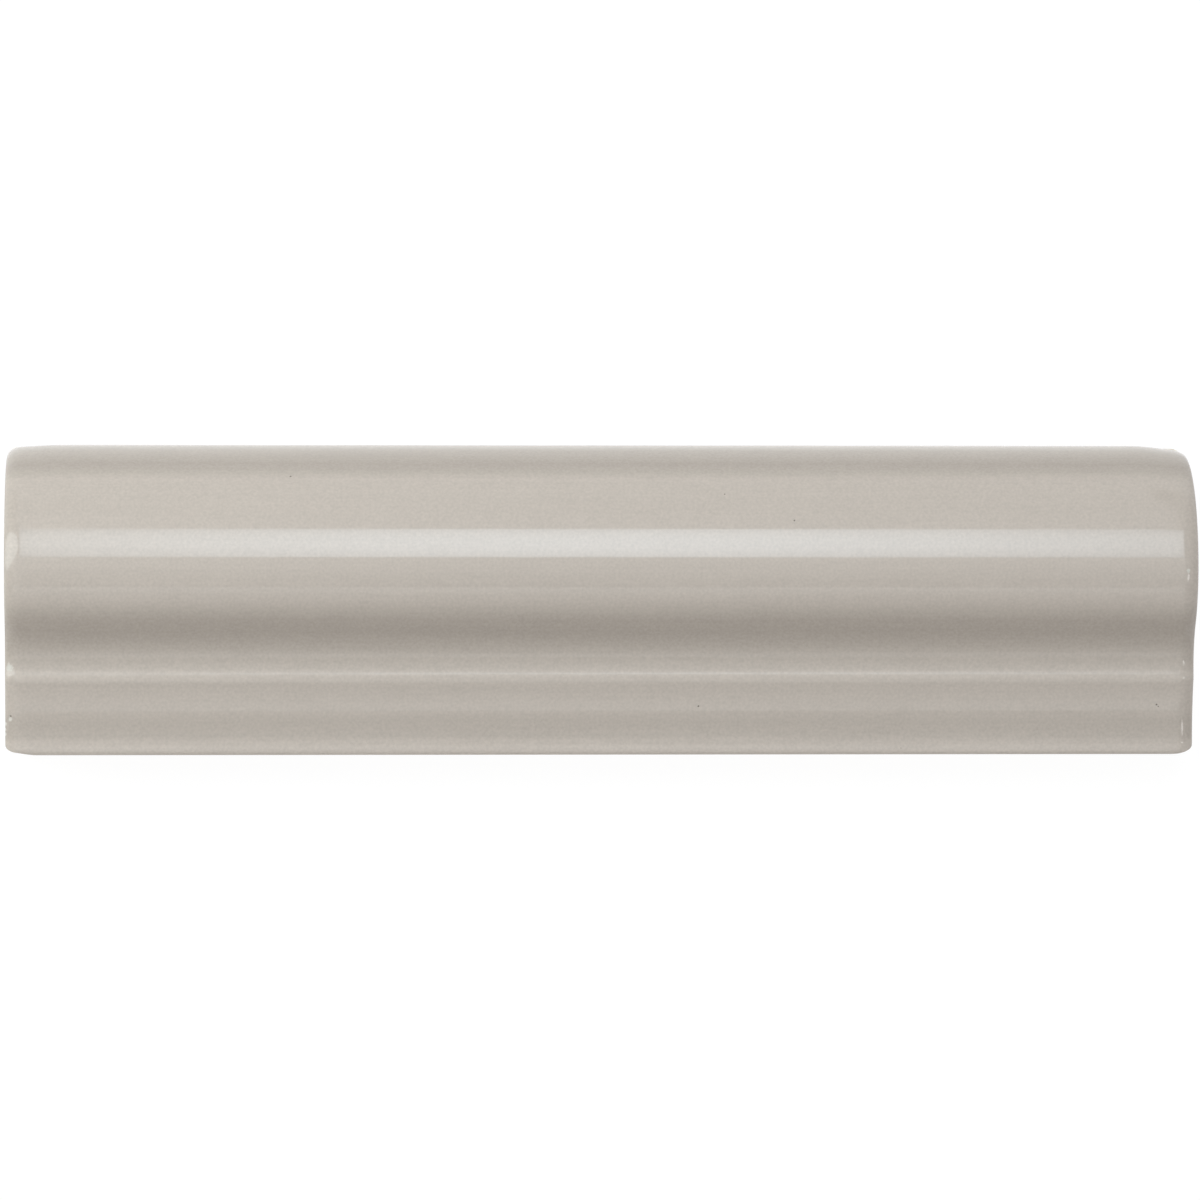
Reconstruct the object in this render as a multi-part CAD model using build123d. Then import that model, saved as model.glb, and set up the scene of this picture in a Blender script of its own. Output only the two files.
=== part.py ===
from build123d import *
import os

# Ceramic dado moulding tile: one fired piece, pressed in a mould and glazed on its face.
# Millimetres. The tile lies on its back, as it is stored. The origin is the middle of the back,
# X runs along the length, Y up the wall towards the rounded nose, and Z out of the wall.
# The face is one chain of tangent arcs, from the top edge over the nose and the crest, down the
# ogee into the cove, over a small bead and through a shallow scoop to the lip at the bottom,
# which breaks to a slight fall.

# Run of the moulding
LENGTH = 152.0

# Bands of the face, in order from the top edge to the bottom edge. Angles are in degrees.
TOP_EDGE = 2.4  # flat edge between the back and the nose
NOSE_RADIUS = 15.6  # quarter round from the top edge to the crest
OGEE_RADIUS = 13.0  # convex fall below the crest
OGEE_SLOPE = 39.5  # steepest fall, where the ogee turns hollow
COVE_RADIUS = 7.0  # hollow under the crest
BEAD_RISE = 7.6  # how far the cove turns up again to meet the bead
BEAD_RADIUS = 2.9  # small ridge below the cove
SCOOP_SLOPE = 20.0  # fall below the bead
SCOOP_RADIUS = 20.4  # shallow hollow down to the lip
LIP_WIDTH = 2.0  # straight run from the scoop out to the bottom edge
LIP_FALL = 12.0  # fall of the lip

# Edges
END_ROUND = 1.65  # glazed edge round the face at each end
LIP_ROUND = 0.5  # crisper glazed edge along the lip
BACK_ARRIS = 0.5  # softened edge round the unglazed back

# Keying on the back, where the adhesive grips
KEY_COUNT = 4
KEY_WIDTH = 4.0
KEY_LAND = 4.5  # flat land between neighbouring grooves
KEY_DEPTH = 1.0
KEY_DRAFT = 15.0  # slope of the groove walls, in degrees, so that the piece leaves its mould
KEY_MARGIN = 8.0  # solid land left at each end

QUARTER_TURN = 90.0


def face_outline() -> list[Edge]:
    """Lines and arcs from the back's top corner round to its bottom corner.

    The first number of a point is the distance down from the top edge, the second is Z.
    Each arc starts at the end of the one before it and along its tangent.
    """
    top_edge = Line((0, 0), (0, TOP_EDGE))
    nose = JernArc(top_edge @ 1, top_edge % 1, NOSE_RADIUS, -QUARTER_TURN)
    ogee = JernArc(nose @ 1, nose % 1, OGEE_RADIUS, -OGEE_SLOPE)
    cove = JernArc(ogee @ 1, ogee % 1, COVE_RADIUS, OGEE_SLOPE + BEAD_RISE)
    bead = JernArc(cove @ 1, cove % 1, BEAD_RADIUS, -(BEAD_RISE + SCOOP_SLOPE))
    scoop = JernArc(bead @ 1, bead % 1, SCOOP_RADIUS, SCOOP_SLOPE)
    lip = PolarLine(scoop @ 1, LIP_WIDTH, -LIP_FALL, length_mode=LengthMode.HORIZONTAL)
    bottom_edge = Line(lip @ 1, ((lip @ 1).X, 0))
    return [top_edge, nose, ogee, cove, bead, scoop, lip, bottom_edge]


def moulded_bar() -> Part:
    """The face run along the length, centred on the origin, with square ends."""
    outline = face_outline()
    top_corner = outline[0] @ 0
    bottom_corner = outline[-1] @ 1
    section = make_face(outline + [Line(bottom_corner, top_corner)])
    height = (bottom_corner - top_corner).length
    across = Plane(origin=(0, height / 2, 0), x_dir=(0, -1, 0), z_dir=(-1, 0, 0))
    return extrude(across * section, LENGTH / 2, both=True)


def soften_ends(bar: Part) -> Part:
    """Rounds the edge of both ends all round the face, and leaves the back's edges square."""
    ends = bar.faces().filter_by(Axis.X)
    edges = [edge for end in ends for edge in end.edges().sort_by(Axis.Z)[1:]]
    return fillet(edges, END_ROUND)


def soften_lip(bar: Part) -> Part:
    """Rounds the long edge between the lip and the bottom edge, on round both corners."""
    lowest_edges = bar.edges().filter_by(Axis.X).group_by(Axis.Y)[0]
    return fillet(lowest_edges.sort_by(Axis.Z)[-1], LIP_ROUND)


def soften_back(bar: Part) -> Part:
    """Rounds the edge all round the back."""
    back = bar.faces().sort_by(Axis.Z)[0]
    return fillet(back.outer_wire().edges(), BACK_ARRIS)


def key_grooves() -> Part:
    """Round-ended grooves along the back, evenly spaced about its middle line."""
    groove = SlotOverall(LENGTH - 2 * KEY_MARGIN, KEY_WIDTH)
    places = GridLocations(0, KEY_WIDTH + KEY_LAND, 1, KEY_COUNT)
    return extrude(Sketch() + places * groove, KEY_DEPTH, taper=KEY_DRAFT)


def moulding_tile() -> Part:
    """The whole tile."""
    return soften_back(soften_lip(soften_ends(moulded_bar()))) - key_grooves()


if __name__ == "__main__":
    tile = moulding_tile()
    os.makedirs("parts", exist_ok=True)
    export_step(tile, "parts/moulding_tile.step")
    box = tile.bounding_box()
    print("size", box.size, "lowest", box.min, "volume", tile.volume, "valid", tile.is_valid)
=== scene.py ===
"""Glazed ceramic dado moulding tile, lying on its back on a pale studio floor."""

import logging
import math
from collections.abc import Iterable, Mapping
from dataclasses import dataclass, field
from enum import Enum
from typing import Any

import bpy
from mathutils import Euler, Matrix, Vector


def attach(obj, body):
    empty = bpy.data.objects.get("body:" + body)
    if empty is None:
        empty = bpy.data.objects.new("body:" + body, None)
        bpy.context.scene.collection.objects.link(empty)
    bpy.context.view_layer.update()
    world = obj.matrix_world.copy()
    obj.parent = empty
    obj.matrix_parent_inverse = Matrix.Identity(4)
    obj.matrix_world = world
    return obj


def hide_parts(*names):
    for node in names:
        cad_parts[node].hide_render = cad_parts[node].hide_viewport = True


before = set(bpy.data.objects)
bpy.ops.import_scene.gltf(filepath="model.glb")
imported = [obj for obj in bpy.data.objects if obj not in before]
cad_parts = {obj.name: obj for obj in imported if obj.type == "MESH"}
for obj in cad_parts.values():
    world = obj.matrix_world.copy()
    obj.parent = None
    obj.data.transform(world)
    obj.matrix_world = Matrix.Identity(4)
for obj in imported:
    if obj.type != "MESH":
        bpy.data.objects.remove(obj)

LOG = logging.getLogger("moulding_tile")
MM = 0.001  # metres in one millimetre
MATH = "ShaderNodeMath"
VECTOR_MATH = "ShaderNodeVectorMath"
WHOLE_MATH = "FunctionNodeIntegerMath"
MIX = "ShaderNodeMix"
MAP_RANGE = "ShaderNodeMapRange"
NOISE = "ShaderNodeTexNoise"

SEAM_GAP = 1e-6  # metres, below which two points of the mesh are one
NOISE_LOW = 0.25  # nearly all of a noise texture's values lie between these
NOISE_HIGH = 0.75
LAMP_DISTANCE = 1.2  # metres from the tile to each lamp that hangs over it

TOWARDS_LEFT = -1.0
TOWARDS_RIGHT = 1.0
TOWARDS_BOTTOM = -1.0
TOWARDS_TOP = 1.0

Colour = tuple[float, float, float, float]
Place = tuple[float, float, float]


def linear(code: str) -> Colour:
    """Turns an sRGB hex colour to a linear one.

    Args:
        code: Six hex digits after a hash sign.

    Returns:
        Red, green, blue and an alpha of 1.
    """
    shares = [int(code[i : i + 2], 16) / 255 for i in (1, 3, 5)]
    red, green, blue = [s / 12.92 if s <= 0.04045 else ((s + 0.055) / 1.055) ** 2.4 for s in shares]
    return red, green, blue, 1.0


def add_node(
    tree: bpy.types.NodeTree, kind: str, inputs: Mapping[Any, Any] | None = None, **settings: Any
) -> bpy.types.Node:
    """Adds a node, sets its options and fills its sockets.

    Args:
        tree: Node tree that gets the node.
        kind: Blender's name for the kind of node.
        inputs: What goes into each socket, by its name or number: a node, an output or a value.
        settings: Options of the node.

    Returns:
        The new node.
    """
    node = tree.nodes.new(kind)
    for name, value in settings.items():
        setattr(node, name, value)
    for key, value in (inputs or {}).items():
        if isinstance(value, bpy.types.Node):
            value = next(output for output in value.outputs if output.enabled)
        if isinstance(value, bpy.types.NodeSocket):
            tree.links.new(value, node.inputs[key])
        else:
            node.inputs[key].default_value = value
    return node


def facing(place: Place, target: Place, across: Place = (1.0, 0.0, 0.0)) -> Euler:
    """Turns something so that its back axis points away from what it looks at.

    Args:
        place: Where it stands.
        target: What it looks at.
        across: Direction that its own X axis keeps to.

    Returns:
        The turn, with -Z at the target.
    """
    back = (Vector(place) - Vector(target)).normalized()
    side = Vector(across)
    side = (side - side.project(back)).normalized()
    return Matrix((side, back.cross(side), back)).transposed().to_euler()


class FaultKind(Enum):
    """Small faults of a fired glaze, and a painted glint of a lamp drawn as a chip."""

    PINHOLE = "pinhole"
    # Pale chips of the glaze, and also a pale spot that paints a lamp's glint.
    CHIP_AND_GLINT = "chip_and_glint"


@dataclass(frozen=True)
class Fault:
    """One small fault of the glaze, in millimetres.

    Attributes:
        kind: What it is.
        place: Its middle, on the tile's surface.
        radius: How far it reaches.
        depth: How deep the surface sinks there.
    """

    kind: FaultKind
    place: Place
    radius: float
    depth: float = 0.0


class Band(Enum):
    """Bands of the section, in order round it from the top edge."""

    TOP_EDGE = "top edge"
    NOSE = "nose"
    OGEE = "ogee"
    COVE = "cove"
    BEAD = "bead"
    SCOOP = "scoop"
    LIP = "lip"
    LIP_ARRIS = "lip arris"
    BOTTOM_EDGE = "bottom edge"
    BACK = "back"


@dataclass
class SectionPoint:
    """One point of the section's outline, in millimetres.

    Attributes:
        band: Band of the section that it lies on.
        y: Height up the wall from the tile's middle line.
        z: Distance out of the wall from the back.
        out_y: Up-the-wall part of the outward direction.
        out_z: Out-of-the-wall part of the outward direction.
        inner_y: Where the point ends up on the end face, past the rounded edge.
        inner_z: As inner_y, out of the wall.
        reach: How far from the end the rounded edge starts.
        pillow: Share of the rounded edge that is a slow swell and not the corner.
        crisp: Sharpness of the corner, where 2 is a round one.
        pool: Thickness of the glaze, from 0 on a ridge to 1 in a hollow, with painted shade and
            highlight laid in.
    """

    band: Band
    y: float
    z: float
    out_y: float
    out_z: float
    inner_y: float = 0.0
    inner_z: float = 0.0
    reach: float = 0.0
    pillow: float = 0.0
    crisp: float = 2.0
    pool: float = 0.0


@dataclass(frozen=True)
class GlazeShade:
    """Thickness of the glaze at one place on the face, with painted shade and highlight laid into it.

    Attributes:
        down: Distance down from the tile's top edge, in millimetres.
        level: Thickness, from 0 where it drew thin to 1 where it pooled, also lower for painted
            highlight and higher for painted shade.
    """

    down: float
    level: float


@dataclass
class OutlinePen:
    """Draws an outline in straight runs and tangent arcs, with the solid on its right.

    Attributes:
        down: Distance down from the tile's top edge, in millimetres.
        z: Distance out of the wall.
        heading: Direction of travel in degrees, 0 down the wall and 90 out of it.
        points: Points drawn so far, with y still as minus the distance down.
    """

    down: float
    z: float
    heading: float
    points: list[SectionPoint] = field(default_factory=list)

    def travel(self, band: Band, length: float, turn: float, step: float) -> None:
        """Draws one run, straight if it doesn't turn.

        Args:
            band: Band that the run belongs to.
            length: Length of the run.
            turn: Change of heading over the run, in degrees, negative to the right.
            step: Longest distance between its points.
        """
        count = max(1, math.ceil(length / step))
        stride = length / count
        if turn:
            half_turn = math.radians(turn / count / 2)
            stride *= math.sin(half_turn) / half_turn
        for _ in range(count):
            angle = math.radians(self.heading)
            self.points.append(SectionPoint(band, -self.down, self.z, math.sin(angle), math.cos(angle)))
            middle = math.radians(self.heading + turn / count / 2)
            self.down += stride * math.cos(middle)
            self.z += stride * math.sin(middle)
            self.heading += turn / count

    def arc(self, band: Band, radius: float, turn: float, step: float) -> None:
        """Draws an arc of a radius that turns by so many degrees."""
        self.travel(band, radius * math.radians(abs(turn)), turn, step)


@dataclass(frozen=True)
class FaceSection:
    """Section of the moulding, in millimetres and degrees, from its top edge down the face.

    Attributes:
        end_round: How far the top and bottom edges draw in round the corner at each end.
        end_sink: How far the face sinks there.
        end_reach: How far from the end the edge starts.
        end_pillow: Share of the face's sinking that is a slow swell.
        end_crisp: Sharpness of the corner that ends the swell.
        end_glaze_shade: Thickness of the glaze on the end faces, on the same scale that holds the face's
            painted shade.
        glaze_shades: Thickness of the glaze down the face, mostly fitted to the photograph's brightness,
            so that it also paints shade and highlight.
    """

    height: float = 39.6
    top_edge: float = 2.4
    nose_radius: float = 15.6
    ogee_radius: float = 13.0
    ogee_slope: float = 39.5
    cove_radius: float = 7.0
    bead_rise: float = 7.1
    bead_radius: float = 2.9
    scoop_slope: float = 20.0
    scoop_radius: float = 20.65
    lip_flat: float = 0.4
    lip_bend: float = 1.5
    lip_width: float = 1.6
    lip_fall: float = 12.0
    lip_round: float = 0.5
    end_round: float = 1.65
    end_sink: float = 1.15
    end_reach: float = 2.1
    end_pillow: float = 0.55
    end_crisp: float = 5.0
    end_glaze_shade: float = 0.5
    back_arris: float = 0.5
    fine_step: float = 0.14
    face_step: float = 0.24
    edge_step: float = 0.7
    back_step: float = 1.2
    # Painted shade and highlight: these levels are fitted to brightness, so besides the glaze's
    # thickness they paint a dark reflection low on the nose, shade in the cove and scoop, a highlight
    # over the bead and a reflection over the lip.
    glaze_shades: tuple[GlazeShade, ...] = (
        GlazeShade(0.0, 0.0),
        GlazeShade(0.8, 0.46),
        GlazeShade(2.4, 0.95),  # gathered low on the nose, and darker there as a painted dark reflection
        GlazeShade(3.2, 0.78),
        GlazeShade(4.4, 0.26),  # drawn thin where the nose turns, and also painted lighter there
        GlazeShade(8.0, 0.36),
        GlazeShade(10.0, 0.29),
        GlazeShade(14.4, 0.28),
        GlazeShade(19.8, 0.35),
        GlazeShade(21.2, 0.71),
        GlazeShade(22.4, 1.0),  # pooled in the hollow, and darker there as painted shade
        GlazeShade(25.0, 0.88),
        GlazeShade(26.5, 0.67),
        GlazeShade(28.6, 0.45),
        GlazeShade(29.0, 0.16),  # drawn thin over the bead, and lighter there as a painted highlight
        GlazeShade(29.8, 0.12),
        GlazeShade(30.3, 0.33),
        GlazeShade(31.8, 0.29),
        GlazeShade(34.2, 0.44),
        GlazeShade(35.4, 0.68),  # gathered low in the scoop, and darker there as painted shade
        GlazeShade(37.2, 0.66),
        GlazeShade(38.5, 0.03),  # drawn thin over the lip, and lighter there as a painted reflection
        GlazeShade(39.6, 0.2),
    )

    def outline(self) -> list[SectionPoint]:
        """Draws the section once round.

        Returns:
            Its points, from the foot of the top edge over the face and back along the back.
        """
        pen = OutlinePen(down=0.0, z=self.back_arris, heading=90.0)
        pen.travel(Band.TOP_EDGE, self.top_edge - self.back_arris, 0.0, self.edge_step)
        pen.arc(Band.NOSE, self.nose_radius, -90.0, self.face_step)
        pen.arc(Band.OGEE, self.ogee_radius, -self.ogee_slope, self.face_step)
        pen.arc(Band.COVE, self.cove_radius, self.ogee_slope + self.bead_rise, self.face_step)
        pen.arc(Band.BEAD, self.bead_radius, -self.bead_rise - self.scoop_slope, self.fine_step)
        pen.arc(Band.SCOOP, self.scoop_radius, self.scoop_slope, self.face_step)
        fall = math.radians(self.lip_fall)
        slope_run = (
            self.lip_width - self.lip_bend * math.sin(fall) - self.lip_round * (1 - math.sin(fall))
        )
        pen.travel(Band.LIP, self.lip_flat, 0.0, self.fine_step)
        pen.arc(Band.LIP, self.lip_bend, -self.lip_fall, self.fine_step)
        pen.travel(Band.LIP, slope_run / math.cos(fall), 0.0, self.face_step)
        pen.arc(Band.LIP_ARRIS, self.lip_round, self.lip_fall - 90.0, self.fine_step)
        pen.travel(Band.BOTTOM_EDGE, pen.z - self.back_arris, 0.0, self.edge_step)
        pen.arc(Band.BACK, self.back_arris, -90.0, self.fine_step)
        pen.travel(Band.BACK, pen.down - self.back_arris, 0.0, self.back_step)
        pen.arc(Band.BACK, self.back_arris, -90.0, self.fine_step)
        for point in pen.points:
            point.y += self.height / 2
        self.set_ends(pen.points)
        self.set_glaze_shades(pen.points)
        return pen.points

    def set_ends(self, points: list[SectionPoint]) -> None:
        """Works out how the edge at each end is rounded at every point of the outline.

        The long edges of the lip and the back are crisper than the rounded end, so there the
        points close up on the corner of the end face instead of crossing each other.

        Args:
            points: The outline, which gets its ends.
        """
        end_y = self.height / 2 - self.end_round
        slope = [p for p in points if p.band is Band.LIP][-1]
        slope_y = slope.y - slope.out_y * self.end_sink
        slope_z = slope.z - slope.out_z * self.end_sink
        corner_z = slope_z - (slope_y + end_y) * math.tan(math.radians(self.lip_fall))
        for p in points:
            upward = max(p.out_z, 0.0) ** 2
            p.pillow = upward * self.end_pillow
            p.crisp = 2.0 + upward * (self.end_crisp - 2.0)
            inset = self.end_round + upward * (self.end_sink - self.end_round)
            if p.band is Band.BACK:
                inset = self.back_arris
            p.inner_y = min(max(p.y - p.out_y * inset, -end_y), end_y)
            p.inner_z = max(p.z - p.out_z * inset, self.back_arris)
            p.reach = self.end_reach
            if p.band is Band.BACK:
                past = min(max(abs(p.y) - end_y, 0.0), self.end_round) / self.end_round
                rise = 1.0 - math.sqrt(1.0 - past**2)
                p.reach = self.back_arris + rise * (self.end_reach - self.back_arris)
            if p.band in (Band.LIP_ARRIS, Band.BOTTOM_EDGE):
                p.inner_z = min(p.inner_z, corner_z)
            if p.band is Band.LIP_ARRIS:
                p.inner_y, p.inner_z = -end_y, corner_z
            if p.band is Band.LIP and p.inner_y <= -end_y:
                p.inner_z = corner_z

    def set_glaze_shades(self, points: list[SectionPoint]) -> None:
        """Gives every point the glaze's thickness there, with its painted shade and highlight.

        Args:
            points: The outline, which gets its glaze thickness and painted shade.
        """
        for p in points:
            down = self.height / 2 - p.y
            p.pool = self.glaze_shades[-1].level
            for before, after in zip(self.glaze_shades, self.glaze_shades[1:]):
                if before.down <= down <= after.down:
                    share = (down - before.down) / (after.down - before.down)
                    p.pool = before.level + share * (after.level - before.level)
                    break


@dataclass(frozen=True)
class Keying:
    """Shallow round-ended grooves along the back, where the adhesive grips, in millimetres.

    Attributes:
        draft: Slope of the groove walls in degrees, so that the piece leaves its mould.
        margin: Solid land left at each end.
        overcut: How far the cutter starts outside the back.
    """

    count: int = 4
    width: float = 4.0
    land: float = 4.5
    depth: float = 1.0
    draft: float = 15.0
    margin: float = 8.0
    overcut: float = 0.2
    sides: int = 32


@dataclass(frozen=True)
class GlazedEarthenware:
    """Glazed earthenware: a pressed, white-firing body under a glossy coloured glaze.

    The glaze is a thin coat of glass. It mirrors the lamps sharply over a warm grey that is a
    little darker where the melt pooled in the hollows and paler where it drew thin over ridges, so
    that the cream body shows through. That grey also holds painted shade, darker low on the nose, in
    the cove and in the scoop, and painted highlight, paler over the bead and lip. It holds faint
    mottling, fine specks, drag lines along the run, a few pinholes and chips, and one pale spot that
    is a painted glint of a lamp. Below the glaze line the body is bare: a matt, finely grained cream.

    Attributes:
        glaze_line: Height of the glaze's lower border above the back, in millimetres.
        line_wander: How far that border wanders up and down, in millimetres.
        line_run: How long its waves are, in millimetres.
        pinhole_dip: Depth of a pinhole, in millimetres.
        fault_core: Share of a fault's radius within which it shows fully.
    """

    # Glaze colours from thin to thick, which also run from painted highlight to painted shade.
    thin_glaze_lit: str = "#C6BCB2"
    thick_glaze_shaded: str = "#ACA298"
    pinhole: str = "#6E665D"
    # Pale body where the glaze is chipped off, also used for a painted glint of a lamp.
    chip_and_glint: str = "#CFCCC3"
    biscuit: str = "#E2D7C3"
    ior: float = 1.5
    glaze_roughness: float = 0.05
    biscuit_roughness: float = 0.85
    glaze_line: float = 3.0
    line_wander: float = 0.8
    line_run: float = 12.0
    line_blur: float = 0.15
    mottle_size: float = 7.0
    mottle: float = 0.008
    cloud_size: float = 1.6
    cloud: float = 0.012
    speck_size: float = 0.36
    speck: float = 0.06
    drag_width: float = 0.5
    drag_length: float = 45.0
    drag: float = 0.015
    peel_size: float = 1.4
    peel: float = 0.0003
    grain_size: float = 0.35
    grain: float = 0.02
    pinhole_dip: float = 0.03
    fault_core: float = 0.3

    def material(self, faults: Iterable[Fault]) -> bpy.types.Material:
        """Mixes the material.

        Args:
            faults: Small faults that it shows.

        Returns:
            The material, with patterns in millimetres on Object coordinates.
        """
        made = bpy.data.materials.new("glazed_earthenware")
        made.use_nodes = True
        tree = made.node_tree
        tree.nodes.clear()
        local = add_node(tree, "ShaderNodeTexCoord").outputs["Object"]
        spot = add_node(tree, VECTOR_MATH, {0: local, "Scale": 1 / MM}, operation="SCALE")
        glazed = self.glazed_share(tree, spot)
        pinhole = self.fault_share(tree, spot, [f for f in faults if f.kind is FaultKind.PINHOLE])
        chip_and_glint = self.fault_share(tree, spot, [f for f in faults if f.kind is FaultKind.CHIP_AND_GLINT])
        whole = add_node(tree, MATH, {0: 1.0, 1: chip_and_glint}, operation="SUBTRACT")
        covered = add_node(tree, MATH, {0: glazed, 1: whole}, operation="MULTIPLY")
        colour = self.colour(tree, spot, glazed, chip_and_glint, pinhole)
        rough = add_node(
            tree, MAP_RANGE, {0: covered, 3: self.biscuit_roughness, 4: self.glaze_roughness}
        )
        relief = self.relief(tree, spot, covered, pinhole)
        shader = add_node(
            tree,
            "ShaderNodeBsdfPrincipled",
            {"Base Color": colour, "Roughness": rough, "IOR": self.ior, "Normal": relief},
        )
        add_node(tree, "ShaderNodeOutputMaterial", {"Surface": shader})
        return made

    def glazed_share(self, tree: bpy.types.NodeTree, spot: bpy.types.Node) -> bpy.types.Node:
        """Where the glaze covers the body, above an uneven line on the edges.

        Args:
            tree: The material's tree.
            spot: Place on the tile in millimetres.

        Returns:
            A node that gives 1 on the glaze and 0 on the bare body.
        """
        z = add_node(tree, "ShaderNodeSeparateXYZ", {0: spot}).outputs["Z"]
        wander = add_node(tree, NOISE, {"Vector": spot, "Scale": 1 / self.line_run, "Detail": 3.0})
        line = add_node(
            tree,
            MAP_RANGE,
            {
                0: wander,
                3: self.glaze_line - self.line_wander,
                4: self.glaze_line + self.line_wander,
            },
        )
        above = add_node(tree, MATH, {0: z, 1: line}, operation="SUBTRACT")
        return add_node(
            tree,
            MAP_RANGE,
            {0: above, 1: -self.line_blur, 2: self.line_blur},
            interpolation_type="SMOOTHSTEP",
        )

    def fault_share(
        self, tree: bpy.types.NodeTree, spot: bpy.types.Node, faults: list[Fault]
    ) -> bpy.types.Node:
        """Where a kind of fault shows.

        Args:
            tree: The material's tree.
            spot: Place on the tile in millimetres.
            faults: Faults of that kind.

        Returns:
            A node that gives 1 in the middle of a fault and 0 outside all of them.
        """
        share = add_node(tree, "ShaderNodeValue")
        noise = add_node(tree, NOISE, {"Vector": spot, "Scale": 1 / self.grain_size, "Detail": 2.0})
        ragged = add_node(tree, MATH, {0: noise, 1: 0.5}, operation="SUBTRACT")
        for fault in faults:
            apart = add_node(tree, VECTOR_MATH, {0: spot, 1: fault.place}, operation="DISTANCE")
            uneven = add_node(
                tree, MATH, {0: ragged, 1: fault.radius, 2: apart}, operation="MULTIPLY_ADD"
            )
            within = add_node(
                tree,
                MAP_RANGE,
                {0: uneven, 1: fault.radius, 2: fault.radius * self.fault_core},
                interpolation_type="SMOOTHSTEP",
            )
            share = add_node(tree, MATH, {0: share, 1: within}, operation="MAXIMUM")
        return share

    def colour(
        self,
        tree: bpy.types.NodeTree,
        spot: bpy.types.Node,
        glazed: bpy.types.Node,
        chip_and_glint: bpy.types.Node,
        pinhole: bpy.types.Node,
    ) -> bpy.types.Node:
        """Colour of the glaze with its painted shade and highlight and, where it is bare, the body.

        Args:
            tree: The material's tree.
            spot: Place on the tile in millimetres.
            glazed: Where the glaze covers the body.
            chip_and_glint: Where the glaze is chipped off, and where a pale spot is a painted glint of a
                lamp.
            pinhole: Where pinholes show.

        Returns:
            A node that gives the colour.
        """
        # The glaze's colour by its thickness, which also carries painted shade low on the nose, in the
        # cove and scoop, and painted highlight over the bead and lip.
        pool = add_node(tree, "ShaderNodeAttribute", attribute_name="pool").outputs["Fac"]
        glaze = add_node(
            tree, MIX, {0: pool, 6: linear(self.thin_glaze_lit), 7: linear(self.thick_glaze_shaded)}, data_type="RGBA"
        )
        drag_scale = (1 / self.drag_length, 1 / self.drag_width, 1 / self.drag_width)
        drag_spot = add_node(tree, VECTOR_MATH, {0: spot, 1: drag_scale}, operation="MULTIPLY")
        level: Any = 1.0
        for vector, size, amount in (
            (spot, self.mottle_size, self.mottle),
            (spot, self.cloud_size, self.cloud),
            (spot, self.speck_size, self.speck),
            (drag_spot, 1.0, self.drag),
        ):
            noise = add_node(tree, NOISE, {"Vector": vector, "Scale": 1 / size, "Detail": 1.0})
            limits = {1: NOISE_LOW, 2: NOISE_HIGH, 3: -amount, 4: amount}
            change = add_node(tree, MAP_RANGE, {0: noise, **limits})
            level = add_node(tree, MATH, {0: level, 1: change}, operation="ADD")
        varied = add_node(
            tree, MIX, {0: 1.0, 6: glaze, 7: level}, data_type="RGBA", blend_type="MULTIPLY"
        )
        holed = add_node(tree, MIX, {0: pinhole, 6: varied, 7: linear(self.pinhole)}, data_type="RGBA")
        bared = add_node(tree, MIX, {0: glazed, 6: linear(self.biscuit), 7: holed}, data_type="RGBA")
        # Pale chips, and a painted glint of a lamp, over the rest.
        return add_node(tree, MIX, {0: chip_and_glint, 6: bared, 7: linear(self.chip_and_glint)}, data_type="RGBA")

    def relief(
        self,
        tree: bpy.types.NodeTree,
        spot: bpy.types.Node,
        covered: bpy.types.Node,
        pinhole: bpy.types.Node,
    ) -> bpy.types.Node:
        """Fine relief: a faint waviness of the glaze, dips at pinholes and the body's grain.

        Args:
            tree: The material's tree.
            spot: Place on the tile in millimetres.
            covered: Where the glaze covers the body.
            pinhole: Where pinholes show.

        Returns:
            A node that gives the normal.
        """
        peel = add_node(tree, NOISE, {"Vector": spot, "Scale": 1 / self.peel_size, "Detail": 1.0})
        grain = add_node(tree, NOISE, {"Vector": spot, "Scale": 1 / self.grain_size, "Detail": 3.0})
        smooth = add_node(tree, MATH, {0: peel, 1: self.peel}, operation="MULTIPLY")
        grainy = add_node(tree, MATH, {0: grain, 1: self.grain}, operation="MULTIPLY")
        height = add_node(tree, MIX, {0: covered, 2: grainy, 3: smooth})
        dipped = add_node(
            tree, MATH, {0: pinhole, 1: -self.pinhole_dip, 2: height}, operation="MULTIPLY_ADD"
        )
        return add_node(tree, "ShaderNodeBump", {"Strength": 1.0, "Distance": MM, "Height": dipped})


@dataclass(frozen=True)
class Sag:
    """Where a long edge draws in towards an end of the tile, in millimetres.

    Attributes:
        end: Which end it is, along X.
        edge: Which long edge it is, along Y.
        drop: How far the edge draws in.
        run: Length over which it does.
    """

    end: float
    edge: float
    drop: float
    run: float


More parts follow.
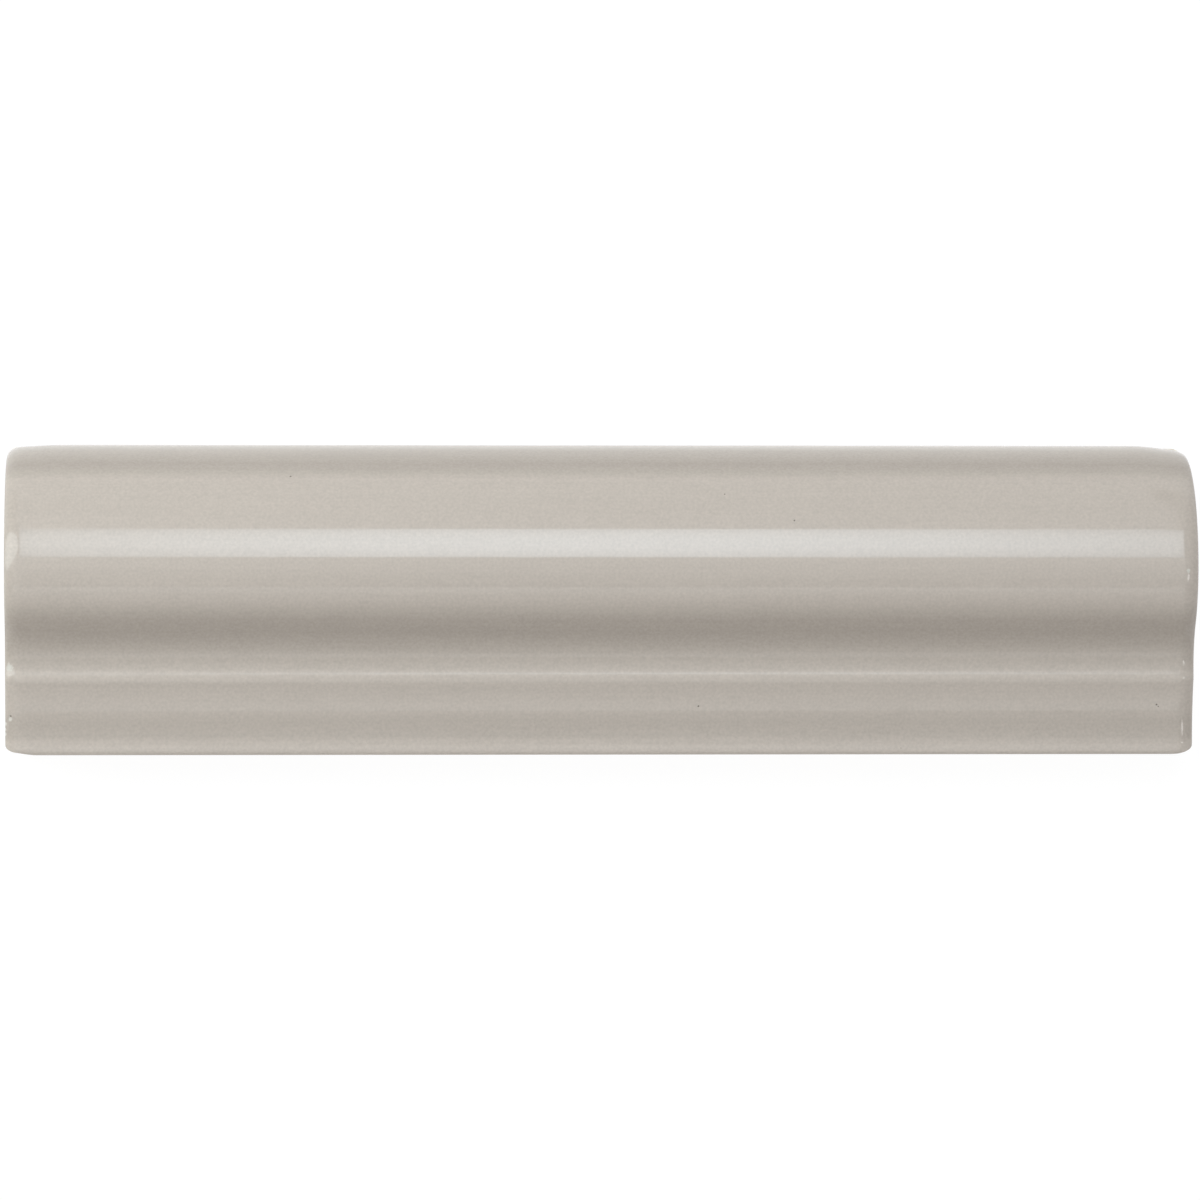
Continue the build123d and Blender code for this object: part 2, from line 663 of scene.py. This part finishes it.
@dataclass(frozen=True)
class MouldingTile:
    """The tile: one section run along the length, with both ends rounded, in millimetres.

    Attributes:
        run_steps: Steps along the straight run.
        round_rings: Steps round the edge at each end.
        cap_rings: Steps across each end face.
        heart: Middle of the end faces, up the wall and out of it.
        ripple: How far the glazed surface wanders in and out.
        ripple_size: How long such a ripple is.
        sags: Where the long edges draw in towards the ends.
    """

    section: FaceSection = FaceSection()
    keying: Keying = Keying()
    finish: GlazedEarthenware = GlazedEarthenware()
    length: float = 152.0
    run_steps: int = 190
    round_rings: int = 14
    cap_rings: int = 4
    heart: tuple[float, float] = (0.0, 6.0)
    ripple: float = 0.005
    ripple_size: float = 22.0
    crease: float = 35.0
    sags: tuple[Sag, ...] = (
        Sag(TOWARDS_LEFT, TOWARDS_TOP, 0.3, 7.0),
        Sag(TOWARDS_RIGHT, TOWARDS_TOP, 0.55, 7.0),
        Sag(TOWARDS_LEFT, TOWARDS_BOTTOM, 0.45, 4.0),
        Sag(TOWARDS_RIGHT, TOWARDS_BOTTOM, 0.15, 3.0),
    )
    faults: tuple[Fault, ...] = (
        Fault(FaultKind.CHIP_AND_GLINT, (-75.5, -8.5, 13.2), 0.72, 0.08),
        Fault(FaultKind.CHIP_AND_GLINT, (-75.4, -15.2, 12.05), 0.4, 0.06),
        Fault(FaultKind.PINHOLE, (-75.3, -14.8, 12.1), 0.2),
        Fault(FaultKind.CHIP_AND_GLINT, (-75.9, -15.8, 11.4), 0.34, 0.04),
        Fault(FaultKind.CHIP_AND_GLINT, (-75.9, -16.5, 11.3), 0.28, 0.04),
        Fault(FaultKind.CHIP_AND_GLINT, (-75.9, -17.1, 11.2), 0.34, 0.04),
        # Painted highlight: a pale spot where a lamp's glint falls on the right end, drawn as a chip.
        Fault(FaultKind.CHIP_AND_GLINT, (74.6, 3.8, 17.9), 0.32),
        Fault(FaultKind.CHIP_AND_GLINT, (75.4, 19.2, 1.4), 0.6, 0.3),
        Fault(FaultKind.CHIP_AND_GLINT, (75.4, 19.2, 2.6), 0.6, 0.3),
        Fault(FaultKind.PINHOLE, (71.2, -13.42, 12.56), 0.16),
        Fault(FaultKind.PINHOLE, (71.45, -13.65, 12.56), 0.14),
        Fault(FaultKind.PINHOLE, (-49.27, 19.78, 3.2), 0.2),
        Fault(FaultKind.PINHOLE, (-39.72, 15.74, 12.9), 0.16),
        Fault(FaultKind.PINHOLE, (15.53, 13.53, 14.9), 0.13),
        Fault(FaultKind.PINHOLE, (24.3, 10.19, 16.8), 0.16),
        Fault(FaultKind.PINHOLE, (12.37, -13.57, 12.56), 0.16),
        Fault(FaultKind.PINHOLE, (38.42, -18.96, 11.87), 0.16),
    )

    def outline_mesh(self) -> bpy.types.Mesh:
        """Puts the section's points in a mesh, with what the run needs of each.

        Returns:
            A mesh of loose points in order round the section, in metres.
        """
        points = self.section.outline()
        mesh = bpy.data.meshes.new("section")
        mesh.from_pydata([(0.0, p.y * MM, p.z * MM) for p in points], [], [])
        inner = mesh.attributes.new("inner", "FLOAT_VECTOR", "POINT")
        inner.data.foreach_set("vector", [c * MM for p in points for c in (0.0, p.inner_y, p.inner_z)])
        reach = mesh.attributes.new("reach", "FLOAT", "POINT")
        reach.data.foreach_set("value", [p.reach * MM for p in points])
        for name in ("pillow", "crisp", "pool"):
            share = mesh.attributes.new(name, "FLOAT", "POINT")
            share.data.foreach_set("value", [getattr(p, name) for p in points])
        return mesh

    def sizes(self, material: bpy.types.Material) -> dict[str, tuple[str, Any]]:
        """Works out the inputs of the run's tree, in metres.

        Args:
            material: The tile's material.

        Returns:
            The kind of socket and the value of each input, by its name.
        """
        key = self.keying
        wall = math.tan(math.radians(key.draft))
        mouth = key.width / 2 + key.overcut * wall
        floor = key.width / 2 - key.depth * wall
        return {
            "Length": ("NodeSocketFloat", self.length * MM),
            "Run Steps": ("NodeSocketInt", self.run_steps),
            "Round Rings": ("NodeSocketInt", self.round_rings),
            "Cap Rings": ("NodeSocketInt", self.cap_rings),
            "Heart": ("NodeSocketVector", (0.0, self.heart[0] * MM, self.heart[1] * MM)),
            "End Glaze Shade": ("NodeSocketFloat", self.section.end_glaze_shade),
            "Ripple": ("NodeSocketFloat", self.ripple * MM),
            "Ripple Size": ("NodeSocketFloat", self.ripple_size * MM),
            "Crease": ("NodeSocketFloat", math.radians(self.crease)),
            "Key Count": ("NodeSocketInt", key.count),
            "Key Sides": ("NodeSocketInt", key.sides),
            "Key Pitch": ("NodeSocketFloat", (key.width + key.land) * MM),
            "Key Mouth": ("NodeSocketFloat", mouth * MM),
            "Key Floor": ("NodeSocketFloat", floor * MM),
            "Key Depth": ("NodeSocketFloat", key.depth * MM),
            "Key Overcut": ("NodeSocketFloat", key.overcut * MM),
            "Key Straight": ("NodeSocketFloat", (self.length - 2 * key.margin - key.width) * MM),
            "Finish": ("NodeSocketMaterial", material),
        }

    def run_tree(self, sizes: Mapping[str, tuple[str, Any]]) -> bpy.types.NodeTree:
        """Builds the node tree that runs the section along the length.

        Args:
            sizes: Inputs of the tree.

        Returns:
            The tree.
        """
        tree = bpy.data.node_groups.new("moulding_run", "GeometryNodeTree")
        tree.interface.new_socket("Section", in_out="INPUT", socket_type="NodeSocketGeometry")
        for name, (kind, _) in sizes.items():
            tree.interface.new_socket(name, in_out="INPUT", socket_type=kind)
        tree.interface.new_socket("Tile", in_out="OUTPUT", socket_type="NodeSocketGeometry")
        given = add_node(tree, "NodeGroupInput").outputs
        bar = self.bar_nodes(tree, given)
        uneven = self.uneven_nodes(tree, given, bar)
        keys = self.key_nodes(tree, given)
        keyed = add_node(
            tree, "GeometryNodeMeshBoolean", {0: uneven, 1: keys}, operation="DIFFERENCE", solver="EXACT"
        )
        smooth = add_node(tree, "GeometryNodeSetShadeSmooth", {0: keyed, 2: True}, domain="FACE")
        angle = add_node(tree, "GeometryNodeInputMeshEdgeAngle").outputs["Unsigned Angle"]
        crisp = add_node(
            tree,
            "FunctionNodeCompare",
            {0: angle, 1: given["Crease"]},
            data_type="FLOAT",
            operation="GREATER_THAN",
        )
        creased = add_node(
            tree, "GeometryNodeSetShadeSmooth", {0: smooth, 1: crisp, 2: False}, domain="EDGE"
        )
        whole = add_node(tree, "GeometryNodeRealizeInstances", {0: creased})
        dressed = add_node(tree, "GeometryNodeSetMaterial", {0: whole, 2: given["Finish"]})
        add_node(tree, "NodeGroupOutput", {0: dressed})
        return tree

    def bar_nodes(self, tree: bpy.types.NodeTree, given: Any) -> bpy.types.Node:
        """Sweeps the section: each grid row is a section point and each column a place along the run.

        Args:
            tree: Tree that gets the nodes.
            given: The tree's inputs.

        Returns:
            A node that gives the closed bar with its rounded ends.
        """
        rows = add_node(tree, "GeometryNodeAttributeDomainSize", {0: given["Section"]}).outputs[0]
        seam_rows = add_node(tree, WHOLE_MATH, {0: rows, 1: 1}, operation="ADD")
        cap_rings = given["Cap Rings"]
        round_rings = given["Round Rings"]
        rings = add_node(tree, WHOLE_MATH, {0: cap_rings, 1: round_rings}, operation="ADD")
        both = add_node(tree, WHOLE_MATH, {0: rings, 1: 2}, operation="MULTIPLY")
        steps = add_node(tree, WHOLE_MATH, {0: both, 1: given["Run Steps"]}, operation="ADD")
        columns = add_node(tree, WHOLE_MATH, {0: steps, 1: 1}, operation="ADD")
        grid = add_node(tree, "GeometryNodeMeshGrid", {2: columns, 3: seam_rows})
        index = add_node(tree, "GeometryNodeInputIndex")
        column = add_node(tree, WHOLE_MATH, {0: index, 1: seam_rows}, operation="DIVIDE_FLOOR")
        seam_row = add_node(tree, WHOLE_MATH, {0: index, 1: seam_rows}, operation="MODULO")
        row = add_node(tree, WHOLE_MATH, {0: seam_row, 1: rows}, operation="MODULO")

        middle = add_node(tree, MATH, {0: steps, 1: 0.5}, operation="MULTIPLY")
        signed = add_node(tree, MATH, {0: column, 1: middle}, operation="SUBTRACT")
        side = add_node(tree, MATH, {0: signed}, operation="SIGN")
        out = add_node(tree, MATH, {0: signed}, operation="ABSOLUTE")
        from_end = add_node(tree, MATH, {0: middle, 1: out}, operation="SUBTRACT")
        half_run = add_node(tree, MATH, {0: middle, 1: rings}, operation="SUBTRACT")
        along = add_node(tree, MATH, {0: out, 1: half_run}, operation="DIVIDE", use_clamp=True)
        into = add_node(tree, MATH, {0: rings, 1: from_end}, operation="SUBTRACT")
        share = add_node(tree, MATH, {0: into, 1: round_rings}, operation="DIVIDE", use_clamp=True)
        angle = add_node(tree, MATH, {0: share, 1: math.pi / 2}, operation="MULTIPLY")
        sine = add_node(tree, MATH, {0: angle}, operation="SINE")
        shrink = add_node(tree, MATH, {0: from_end, 1: cap_rings}, operation="DIVIDE", use_clamp=True)

        sampled = {}
        for name in ("inner", "reach", "pillow", "crisp", "pool"):
            kind = "FLOAT_VECTOR" if name == "inner" else "FLOAT"
            value = add_node(tree, "GeometryNodeInputNamedAttribute", {0: name}, data_type=kind)
            sampled[name] = add_node(
                tree, "GeometryNodeSampleIndex", {0: given["Section"], 1: value, 2: row}, data_type=kind
            )
        position = add_node(tree, "GeometryNodeInputPosition")
        outer = add_node(
            tree,
            "GeometryNodeSampleIndex",
            {0: given["Section"], 1: position, 2: row},
            data_type="FLOAT_VECTOR",
        )
        swell = add_node(tree, MATH, {0: sine, 1: 2.0}, operation="POWER")
        gone = add_node(tree, MATH, {0: sine, 1: sampled["crisp"]}, operation="POWER")
        left = add_node(tree, MATH, {0: 1.0, 1: gone}, operation="SUBTRACT", use_clamp=True)
        root = add_node(tree, MATH, {0: 1.0, 1: sampled["crisp"]}, operation="DIVIDE")
        height = add_node(tree, MATH, {0: left, 1: root}, operation="POWER")
        corner = add_node(tree, MATH, {0: 1.0, 1: height}, operation="SUBTRACT")
        inset = add_node(tree, MIX, {0: sampled["pillow"], 2: corner, 3: swell})
        rounded = add_node(tree, MIX, {0: inset, 4: outer, 5: sampled["inner"]}, data_type="VECTOR")
        capped = add_node(tree, MIX, {0: shrink, 4: given["Heart"], 5: rounded}, data_type="VECTOR")
        half = add_node(tree, MATH, {0: given["Length"], 1: 0.5}, operation="MULTIPLY")
        straight = add_node(tree, MATH, {0: half, 1: sampled["reach"]}, operation="SUBTRACT")
        curl = add_node(tree, MATH, {0: sampled["reach"], 1: sine}, operation="MULTIPLY")
        reached = add_node(tree, MATH, {0: along, 1: straight, 2: curl}, operation="MULTIPLY_ADD")
        x = add_node(tree, MATH, {0: reached, 1: side}, operation="MULTIPLY")
        slide = add_node(tree, "ShaderNodeCombineXYZ", {"X": x})
        place = add_node(tree, VECTOR_MATH, {0: capped, 1: slide}, operation="ADD")
        bent = add_node(tree, "GeometryNodeSetPosition", {0: grid.outputs["Mesh"], "Position": place})
        # Glaze thickness with its painted shade and highlight, eased to one level on the end faces.
        pool = add_node(tree, MIX, {0: corner, 2: sampled["pool"], 3: given["End Glaze Shade"]})
        pooled = add_node(
            tree,
            "GeometryNodeStoreNamedAttribute",
            {0: bent, "Name": "pool", 3: pool},
            data_type="FLOAT",
        )
        closed = add_node(tree, "GeometryNodeMergeByDistance", {0: pooled, "Distance": SEAM_GAP})
        return add_node(tree, "GeometryNodeFlipFaces", {0: closed})

    def uneven_nodes(
        self, tree: bpy.types.NodeTree, given: Any, bar: bpy.types.Node
    ) -> bpy.types.Node:
        """Gives the bar the unevenness of a fired piece: ripples, sunk corners and chips.

        Args:
            tree: Tree that gets the nodes.
            given: The tree's inputs.
            bar: Node that gives the bar.

        Returns:
            A node that gives the uneven bar.
        """
        position = add_node(tree, "GeometryNodeInputPosition")
        normal = add_node(tree, "GeometryNodeInputNormal").outputs[0]
        parts = add_node(tree, "ShaderNodeSeparateXYZ", {0: position}).outputs
        normal_y = add_node(tree, "ShaderNodeSeparateXYZ", {0: normal}).outputs["Y"]
        scale = add_node(tree, MATH, {0: 1.0, 1: given["Ripple Size"]}, operation="DIVIDE")
        noise = add_node(tree, NOISE, {"Vector": position, "Scale": scale, "Detail": 1.0})
        wave = add_node(tree, MATH, {0: noise, 1: 0.5}, operation="SUBTRACT")
        depth: bpy.types.Node = add_node(tree, MATH, {0: wave, 1: given["Ripple"]}, operation="MULTIPLY")
        for fault in self.faults:
            if fault.depth:
                middle = tuple(c * MM for c in fault.place)
                apart = add_node(tree, VECTOR_MATH, {0: position, 1: middle}, operation="DISTANCE")
                sink = add_node(
                    tree,
                    MAP_RANGE,
                    {0: apart, 1: 0.0, 2: fault.radius * MM, 3: -fault.depth * MM, 4: 0.0},
                    interpolation_type="SMOOTHSTEP",
                )
                depth = add_node(tree, MATH, {0: depth, 1: sink}, operation="ADD")
        moved = add_node(tree, VECTOR_MATH, {0: normal, "Scale": depth}, operation="SCALE")
        half = add_node(tree, MATH, {0: given["Length"], 1: 0.5}, operation="MULTIPLY")
        for sag in self.sags:
            out = add_node(tree, MATH, {0: parts["X"], 1: sag.end}, operation="MULTIPLY")
            start = add_node(tree, MATH, {0: half, 1: sag.run * MM}, operation="SUBTRACT")
            fall = add_node(
                tree,
                MAP_RANGE,
                {0: out, 1: start, 2: half, 3: 0.0, 4: sag.drop * MM},
                interpolation_type="SMOOTHSTEP",
            )
            towards = add_node(
                tree, MATH, {0: normal_y, 1: sag.edge}, operation="MULTIPLY", use_clamp=True
            )
            strength = add_node(tree, MATH, {0: towards, 1: 2.0}, operation="POWER")
            drop = add_node(tree, MATH, {0: fall, 1: strength}, operation="MULTIPLY")
            inward = add_node(tree, MATH, {0: drop, 1: -sag.edge}, operation="MULTIPLY")
            sunk = add_node(tree, "ShaderNodeCombineXYZ", {"Y": inward})
            moved = add_node(tree, VECTOR_MATH, {0: moved, 1: sunk}, operation="ADD")
        return add_node(tree, "GeometryNodeSetPosition", {0: bar, "Offset": moved})

    def key_nodes(self, tree: bpy.types.NodeTree, given: Any) -> bpy.types.Node:
        """Makes the cutters of the back's grooves: drawn-out cones with drafted walls.

        Args:
            tree: Tree that gets the nodes.
            given: The tree's inputs.

        Returns:
            A node that gives all the cutters as one mesh.
        """
        tall = add_node(tree, MATH, {0: given["Key Depth"], 1: given["Key Overcut"]}, operation="ADD")
        cone = add_node(
            tree,
            "GeometryNodeMeshCone",
            {0: given["Key Sides"], 3: given["Key Floor"], 4: given["Key Mouth"], 5: tall},
            fill_type="NGON",
        )
        position = add_node(tree, "GeometryNodeInputPosition")
        x = add_node(tree, "ShaderNodeSeparateXYZ", {0: position}).outputs["X"]
        end = add_node(tree, MATH, {0: x}, operation="SIGN")
        half = add_node(tree, MATH, {0: given["Key Straight"], 1: 0.5}, operation="MULTIPLY")
        stretch = add_node(tree, MATH, {0: end, 1: half}, operation="MULTIPLY")
        below = add_node(tree, MATH, {0: given["Key Overcut"], 1: -1.0}, operation="MULTIPLY")
        shift = add_node(tree, "ShaderNodeCombineXYZ", {"X": stretch, "Z": below})
        slot = add_node(tree, "GeometryNodeSetPosition", {0: cone.outputs["Mesh"], "Offset": shift})
        gaps = add_node(tree, WHOLE_MATH, {0: given["Key Count"], 1: 1}, operation="SUBTRACT")
        spread = add_node(tree, MATH, {0: gaps, 1: given["Key Pitch"]}, operation="MULTIPLY")
        first = add_node(tree, MATH, {0: spread, 1: -0.5}, operation="MULTIPLY")
        start = add_node(tree, "ShaderNodeCombineXYZ", {"Y": first})
        pitch = add_node(tree, "ShaderNodeCombineXYZ", {"Y": given["Key Pitch"]})
        line = add_node(
            tree,
            "GeometryNodeMeshLine",
            {"Count": given["Key Count"], "Start Location": start, "Offset": pitch},
        )
        slots = add_node(tree, "GeometryNodeInstanceOnPoints", {"Points": line, "Instance": slot})
        return add_node(tree, "GeometryNodeRealizeInstances", {0: slots})

    def build(self) -> bpy.types.Object:
        """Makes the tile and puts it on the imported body.

        Returns:
            The finished piece.
        """
        material = self.finish.material(self.faults)
        sizes = self.sizes(material)
        tree = self.run_tree(sizes)
        carrier = bpy.data.objects.new("section", self.outline_mesh())
        bpy.context.scene.collection.objects.link(carrier)
        run = carrier.modifiers.new("moulding_run", "NODES")
        run.node_group = tree
        for item in tree.interface.items_tree:
            if item.in_out == "INPUT" and item.name in sizes:
                run[item.identifier] = sizes[item.name][1]
        graph = bpy.context.evaluated_depsgraph_get()
        mesh = bpy.data.meshes.new_from_object(carrier.evaluated_get(graph))
        mesh.name = "glazed_tile"
        bpy.data.objects.remove(carrier)
        tile = bpy.data.objects.new("glazed_tile", mesh)
        bpy.context.scene.collection.objects.link(tile)
        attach(tile, "root")
        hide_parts("moulding_tile")
        return tile


@dataclass(frozen=True)
class Softbox:
    """A lamp behind a sheet of cloth, in metres.

    Attributes:
        centre: Middle of its face.
        width: Size along the direction that across gives.
        height: Size across that.
        radiance: Brightness of its face where it is brightest, and 1 is white.
        across: Direction that its width follows.
        aim: Point that it looks at.
        tint: Colour of its light.
        spread: How far from its brightest spot the cloth still glows by width and by height, or
            None if it glows evenly.
        peak: Where up its height the cloth is brightest, from 0 to 1.
        rounded: Whether its face is an ellipse and not a rectangle.
    """

    name: str
    centre: Place
    width: float
    height: float
    radiance: float
    across: Place = (1.0, 0.0, 0.0)
    aim: Place = (0.0, 0.0, 0.012)
    tint: str = "#FFFFFF"
    spread: tuple[float, float] | None = None
    peak: float = 0.5
    rounded: bool = False

    def soften(self, data: bpy.types.AreaLight, spread: tuple[float, float]) -> None:
        """Lets the face get darker away from its brightest spot.

        Args:
            data: The lamp.
            spread: Distance by width and by height at which the glow is down by two fifths.
        """
        data.use_nodes = True
        tree = data.node_tree
        tree.nodes.clear()
        face = add_node(tree, "ShaderNodeNewGeometry").outputs["Parametric"]
        off = add_node(tree, VECTOR_MATH, {0: face, 1: (0.5, self.peak, 0.0)}, operation="SUBTRACT")
        scale = (self.width / spread[0], self.height / spread[1], 0.0)
        apart = add_node(tree, VECTOR_MATH, {0: off, 1: scale}, operation="MULTIPLY")
        square = add_node(tree, VECTOR_MATH, {0: apart, 1: apart}, operation="DOT_PRODUCT")
        fall = add_node(tree, MATH, {0: square.outputs["Value"], 1: -0.5}, operation="MULTIPLY")
        glow = add_node(tree, MATH, {0: fall}, operation="EXPONENT")
        shader = add_node(tree, "ShaderNodeEmission", {"Strength": glow})
        add_node(tree, "ShaderNodeOutputLight", {"Surface": shader})

    def build(self) -> bpy.types.Object:
        """Hangs the lamp.

        Returns:
            The lamp, which the camera doesn't see.
        """
        data = bpy.data.lights.new(self.name, "AREA")
        data.shape = "ELLIPSE" if self.rounded else "RECTANGLE"
        data.size = self.width
        data.size_y = self.height
        area = self.width * self.height * (math.pi / 4 if self.rounded else 1.0)
        data.energy = math.pi * self.radiance * area
        data.color = linear(self.tint)[:3]
        if self.spread:
            self.soften(data, self.spread)
        lamp = bpy.data.objects.new(self.name, data)
        lamp.location = self.centre
        lamp.rotation_euler = facing(self.centre, self.aim, self.across)
        lamp.visible_camera = False
        bpy.context.scene.collection.objects.link(lamp)
        return lamp


def overhead(angle: float, along: float) -> Place:
    """Place of a lamp that hangs at an angle from straight up, towards the top edge.

    Args:
        angle: Angle from straight up, in degrees.
        along: Place along the tile's run, in metres.

    Returns:
        Its centre in metres.
    """
    turn = math.radians(angle)
    return along, LAMP_DISTANCE * math.sin(turn), LAMP_DISTANCE * math.cos(turn)


@dataclass(frozen=True)
class Studio:
    """Pale floor inside a low white wall, with a dark room above it and the lamps.

    Attributes:
        floor_reach: Half the floor's side in metres.
        floor_colour: Colour that the floor throws back at the tile.
        floor_shown: How much of the light on the floor shows, and with it the tile's shadow.
        floor_glow: Brightness that brings the lit floor up to white.
        fade_start: Distance from the tile in metres where the floor starts to turn plain white.
        fade_end: Distance where it is plain white.
        wall_top: Height of the white wall's top edge in degrees above the horizon.
        wall_fade: Height in degrees where the room's own brightness starts.
        room: Brightness of the room above the wall.
    """

    floor_reach: float = 3.0
    floor_colour: str = "#E6E4E1"
    floor_shown: float = 0.1
    floor_glow: float = 0.935
    fade_start: float = 0.14
    fade_end: float = 0.5
    wall_top: float = 7.0
    wall_fade: float = 10.0
    room: float = 0.4
    lamps: tuple[Softbox, ...] = (
        Softbox(
            "key_softbox",
            centre=overhead(angle=22.6, along=0.069),
            width=0.62,
            height=0.575,
            radiance=5.8,
            tint="#EAF6FF",
            spread=(0.175, 0.304),
        ),
        Softbox(
            "front_panel",
            centre=overhead(angle=-33.5, along=-0.15),
            width=1.2,
            height=0.488,
            radiance=0.95,
            spread=(3.0, 0.14),
            peak=1.0,
        ),
        Softbox(
            "top_panel",
            centre=overhead(angle=-6.4, along=-0.15),
            width=1.2,
            height=0.666,
            radiance=0.72,
            spread=(3.0, 0.32),
            peak=1.0,
        ),
        Softbox(
            "back_panel",
            centre=overhead(angle=58.0, along=-0.04),
            width=0.6,
            height=0.97,
            radiance=0.67,
        ),
        Softbox(
            "left_panel",
            centre=(-0.286, 0.132, 0.342),
            width=0.18,
            height=0.66,
            radiance=3.2,
            across=(0.05, 0.92, -0.38),
            aim=(0.007, 0.083, 0.263),
            tint="#F8FFFE",
            rounded=True,
        ),
        Softbox(
            "right_lamp",
            centre=(0.4715, -0.14, 0.6825),
            width=0.12,
            height=0.1,
            radiance=4.2,
            across=(0.79, 0.614, 0.0),
        ),
    )

    def floor(self) -> bpy.types.Object:
        """Lays the floor, which turns white away from the tile and keeps its soft shadow.

        Returns:
            The floor, which is stage and no piece of the tile.
        """
        reach = self.floor_reach
        mesh = bpy.data.meshes.new("studio_floor")
        corners = [(-reach, -reach, 0), (reach, -reach, 0), (reach, reach, 0), (-reach, reach, 0)]
        mesh.from_pydata(corners, [], [(0, 1, 2, 3)])
        paper = bpy.data.materials.new("matt_white_paper")
        paper.use_nodes = True
        tree = paper.node_tree
        tree.nodes.clear()
        plain = add_node(tree, "ShaderNodeBsdfDiffuse", {"Color": linear(self.floor_colour)})
        grey = (self.floor_shown, self.floor_shown, self.floor_shown, 1.0)
        lit = add_node(tree, "ShaderNodeBsdfDiffuse", {"Color": grey})
        glow = add_node(tree, "ShaderNodeEmission", {"Strength": self.floor_glow})
        near = add_node(tree, "ShaderNodeAddShader", {0: lit, 1: glow})
        far = add_node(tree, "ShaderNodeEmission", {"Strength": 1.0})
        local = add_node(tree, "ShaderNodeTexCoord").outputs["Object"]
        apart = add_node(tree, VECTOR_MATH, {0: local}, operation="LENGTH")
        fade = add_node(
            tree,
            MAP_RANGE,
            {0: apart, 1: self.fade_start, 2: self.fade_end},
            interpolation_type="SMOOTHSTEP",
        )
        shown = add_node(tree, "ShaderNodeMixShader", {0: fade, 1: near, 2: far})
        seen = self.seen_share(tree)
        surface = add_node(tree, "ShaderNodeMixShader", {0: seen, 1: plain, 2: shown})
        add_node(tree, "ShaderNodeOutputMaterial", {"Surface": surface})
        mesh.materials.append(paper)
        floor = bpy.data.objects.new("studio_floor", mesh)
        bpy.context.scene.collection.objects.link(floor)
        return floor

    def seen_share(self, tree: bpy.types.NodeTree) -> bpy.types.Node:
        """Tells sight of the floor from soft light that the floor throws back.

        Args:
            tree: The floor material's tree.

        Returns:
            A node that gives 1 for rays from the camera, a mirror or glass, and 0 for other rays.
        """
        path = add_node(tree, "ShaderNodeLightPath").outputs
        mirrored = add_node(
            tree, MATH, {0: path["Is Camera Ray"], 1: path["Is Glossy Ray"]}, operation="MAXIMUM"
        )
        return add_node(tree, MATH, {0: mirrored, 1: path["Is Transmission Ray"]}, operation="MAXIMUM")

    def surroundings(self) -> bpy.types.World:
        """Makes the world: a white wall low all round, and a darker room above it.

        Returns:
            The world, which the scene then has.
        """
        world = bpy.data.worlds.new("studio_room")
        world.use_nodes = True
        tree = world.node_tree
        tree.nodes.clear()
        sight = add_node(tree, "ShaderNodeTexCoord").outputs["Generated"]
        height = add_node(tree, "ShaderNodeSeparateXYZ", {0: sight}).outputs["Z"]
        wall = {1: math.sin(math.radians(self.wall_top)), 2: math.sin(math.radians(self.wall_fade))}
        level = add_node(
            tree, MAP_RANGE, {0: height, **wall, 3: 1.0, 4: self.room}, interpolation_type="SMOOTHSTEP"
        )
        sky = add_node(tree, "ShaderNodeBackground", {"Color": linear("#FFFFFF"), "Strength": level})
        add_node(tree, "ShaderNodeOutputWorld", {"Surface": sky})
        bpy.context.scene.world = world
        return world

    def build(self) -> None:
        """Sets up the whole studio."""
        self.surroundings()
        LOG.info("stage %s", self.floor().name)
        for lamp in self.lamps:
            LOG.info("lamp %s", lamp.build().name)


@dataclass(frozen=True)
class PhotoCamera:
    """Camera at the photograph's place, in metres, for a square picture.

    Attributes:
        place: Where it stands.
        target: What it looks at.
        view_width: Width of the picture where it looks.
        sensor: Width of its sensor, in millimetres.
        nearest: Distance below which it sees nothing.
        farthest: Distance beyond which it sees nothing.
    """

    place: Place = (-0.05, 0.015, 0.9455)
    target: Place = (-0.00024, 0.0, 0.0125)
    view_width: float = 0.1532
    sensor: float = 36.0
    nearest: float = 0.01
    farthest: float = 20.0

    def build(self) -> bpy.types.Object:
        """Sets up the camera and makes it the scene's own.

        Returns:
            The camera.
        """
        data = bpy.data.cameras.new("photo_camera")
        sight = Vector(self.target) - Vector(self.place)
        data.sensor_width = self.sensor
        data.lens = self.sensor * sight.length / self.view_width
        data.clip_start = self.nearest
        data.clip_end = self.farthest
        camera = bpy.data.objects.new("photo_camera", data)
        camera.location = self.place
        camera.rotation_euler = facing(self.place, self.target)
        bpy.context.scene.collection.objects.link(camera)
        bpy.context.scene.camera = camera
        return camera


def main() -> None:
    """Builds the tile, the studio and the camera."""
    logging.basicConfig(level=logging.INFO, format="%(message)s")
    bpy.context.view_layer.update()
    bpy.context.scene.view_settings.view_transform = "Standard"
    tile = MouldingTile().build()
    LOG.info("piece %s: %d faces", tile.name, len(tile.data.polygons))
    Studio().build()
    LOG.info("camera %s", PhotoCamera().build().name)


if __name__ == "__main__":
    main()
